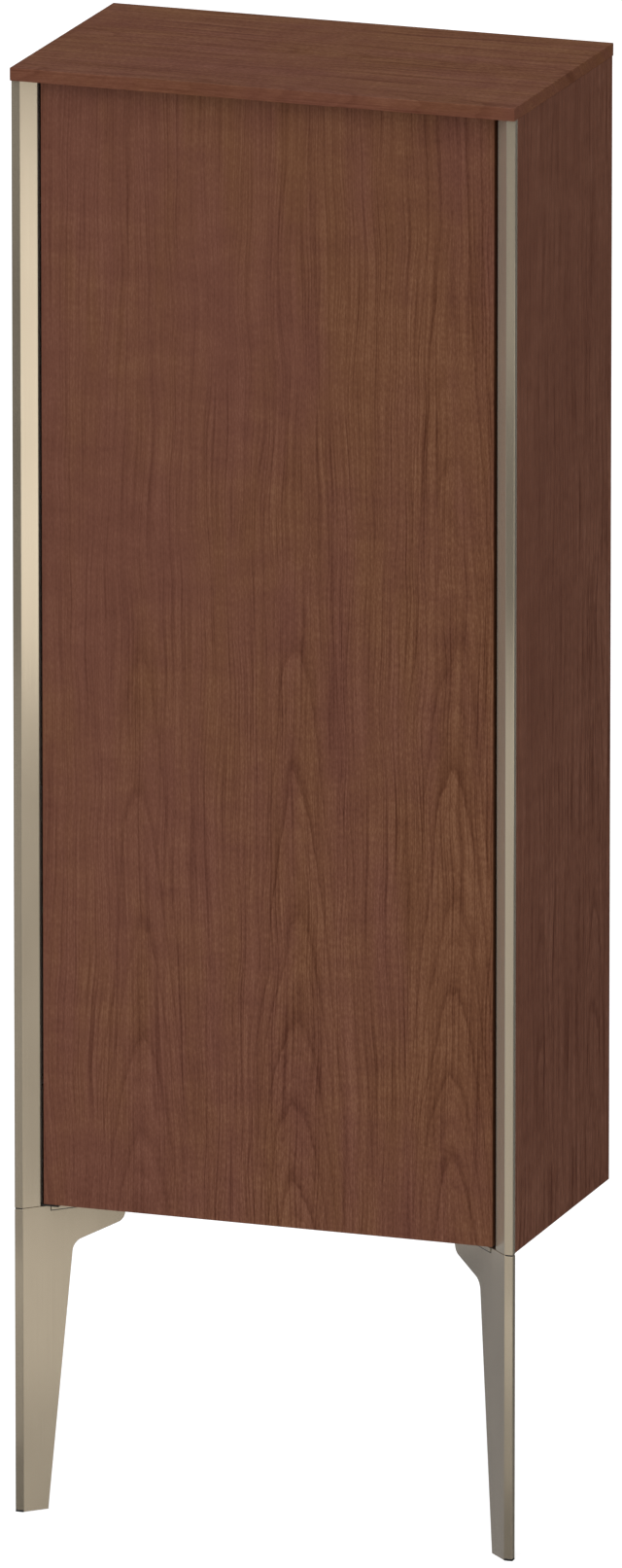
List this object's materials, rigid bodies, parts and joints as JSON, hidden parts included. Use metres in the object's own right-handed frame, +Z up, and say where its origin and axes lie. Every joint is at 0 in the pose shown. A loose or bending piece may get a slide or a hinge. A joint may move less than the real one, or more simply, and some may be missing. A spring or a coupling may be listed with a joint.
{
  "type": "tall bathroom cabinet",
  "caption": "Tall narrow bathroom cabinet: wood-veneer box with a handleless hinged door between metal corner profiles, on tapered metal front legs, hung on the wall behind.",
  "frame": {"origin": "on the floor, at the middle of the cabinet's plan", "axes": "+X to the right seen from the front, +Y from the door to the wall, +Z up"},
  "size_m": [0.501, 0.286, 1.4115],
  "materials": {
    "veneer": "satin dark veneer",
    "carcass_board": "matt foil",
    "champagne_metal": "satin",
    "steel": "plated",
    "glass": "clear, ground edges",
    "beech": "raw",
    "dark_plastic": "moulded",
    "grey_plastic": "moulded"
  },
  "bodies": {
    "cabinet": {"cover_panel": "veneer", "left_side_panel": "veneer", "right_side_panel": "veneer", "bottom_panel": "carcass_board", "top_panel": "carcass_board", "back_panel": "carcass_board", "left_corner_profile": "champagne_metal", "right_corner_profile": "champagne_metal", "left_leg": "champagne_metal", "right_leg": "champagne_metal", "cover_screws": "steel", "left_profile_screws": "steel", "right_profile_screws": "steel", "left_leg_screws": "steel", "right_leg_screws": "steel", "bracket_screws": "steel", "latch_screws": "steel", "hanger_screws": "steel", "lower_pivot_bracket": "steel", "upper_pivot_bracket": "steel", "lower_pivot_pin": "steel", "upper_pivot_pin": "steel", "latch_spring": "steel", "left_hanger": "steel", "right_hanger": "steel", "left_wall_plate": "steel", "right_wall_plate": "steel", "lower_shelf_supports": "steel", "middle_shelf_supports": "steel", "upper_shelf_supports": "steel", "lower_shelf": "glass", "middle_shelf": "glass", "upper_shelf": "glass", "carcass_dowels": "beech", "left_foot_glide": "dark_plastic", "right_foot_glide": "dark_plastic", "latch_housing": "grey_plastic"},
    "door": {"door_panel": "veneer", "lower_pivot_bush": "grey_plastic", "upper_pivot_bush": "grey_plastic", "strike_plate": "steel", "strike_screws": "steel"},
    "latch_plunger": {"latch_plunger": "grey_plastic"}
  },
  "joints": [
    {"name": "door_hinge", "type": "hinge", "parent": "cabinet", "child": "door", "pos_m": [-0.2168, -0.1216, 0.85], "axis": [0, 0, -1], "range_deg": [0, 105]},
    {"name": "latch_press", "type": "slide", "parent": "cabinet", "child": "latch_plunger", "axis": [0, 1, 0], "range_m": [0, 0.003], "stiffness_N_per_m": 600, "springref_m": -0.004, "deforming": ["latch_spring"]}
  ]
}
